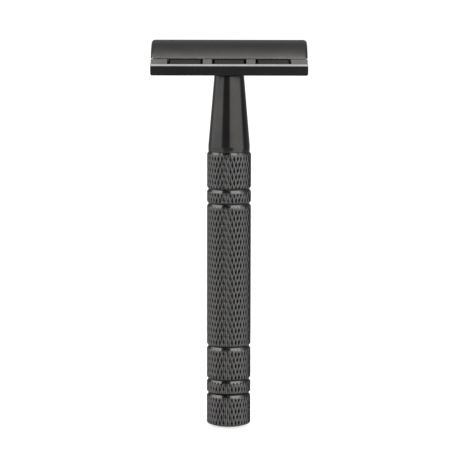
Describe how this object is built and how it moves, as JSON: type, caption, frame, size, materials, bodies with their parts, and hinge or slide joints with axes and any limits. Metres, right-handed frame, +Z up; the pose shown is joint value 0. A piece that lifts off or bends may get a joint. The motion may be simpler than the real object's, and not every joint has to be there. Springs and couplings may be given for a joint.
{
  "type": "safety razor",
  "caption": "Twist-to-open safety razor with a knurled handle, a tapered neck and a hinged cap: turning the knob at the base lifts and opens the doors over the blade bed.",
  "frame": {"origin": "centre of the knob's flat base, which is the middle of the bottom of the object's box", "axes": "+Z up the handle towards the head, X along the length of the head, -Y towards the front edge"},
  "size_m": [0.043, 0.0242, 0.1079],
  "materials": {
    "gunmetal_gloss": "gloss",
    "gunmetal_satin": "satin",
    "rod_steel": "satin",
    "brass_fitting": "satin",
    "spring_steel": "satin"
  },
  "bodies": {
    "handle": {"grip_barrel": "gunmetal_gloss", "neck_cone": "gunmetal_gloss", "fork_collar": "gunmetal_satin", "guard_tray": "gunmetal_satin", "rod_guide_bush": "brass_fitting", "knob_retainer": "brass_fitting", "wave_washer": "spring_steel"},
    "knob": {"knob_grip": "gunmetal_gloss", "knob_sleeve": "brass_fitting", "snap_ring": "spring_steel"},
    "lifting_gear": {"push_rod": "rod_steel", "crosshead": "rod_steel", "crosshead_nut": "rod_steel", "bracket_left": "gunmetal_satin", "bracket_right": "gunmetal_satin", "hinge_pin_front_left": "rod_steel", "hinge_pin_rear_left": "rod_steel", "hinge_pin_front_right": "rod_steel", "hinge_pin_rear_right": "rod_steel"},
    "front_door": {"front_door": "gunmetal_satin"},
    "rear_door": {"rear_door": "gunmetal_satin"}
  },
  "joints": [
    {"name": "rod_lift", "type": "slide", "parent": "handle", "child": "lifting_gear", "axis": [0, 0, 1], "range_m": [0, 0.0048]},
    {"name": "knob_turn", "type": "hinge", "parent": "handle", "child": "knob", "pos_m": [0, 0, 0], "axis": [0, 0, -1], "range_deg": [0, 630]},
    {"name": "front_door_swing", "type": "hinge", "parent": "lifting_gear", "child": "front_door", "pos_m": [0, -0.0084, 0.10103], "axis": [1, 0, 0], "range_deg": [0, 80]},
    {"name": "rear_door_swing", "type": "hinge", "parent": "lifting_gear", "child": "rear_door", "pos_m": [0, 0.0084, 0.10103], "axis": [-1, 0, 0], "range_deg": [0, 80]}
  ],
  "couplings": [
    {"joint": "knob_turn", "follows": "rod_lift", "rad_per_m": 2290.7},
    {"joint": "front_door_swing", "follows": "rod_lift", "rad_per_m": 290.88},
    {"joint": "rear_door_swing", "follows": "rod_lift", "rad_per_m": 290.88}
  ]
}
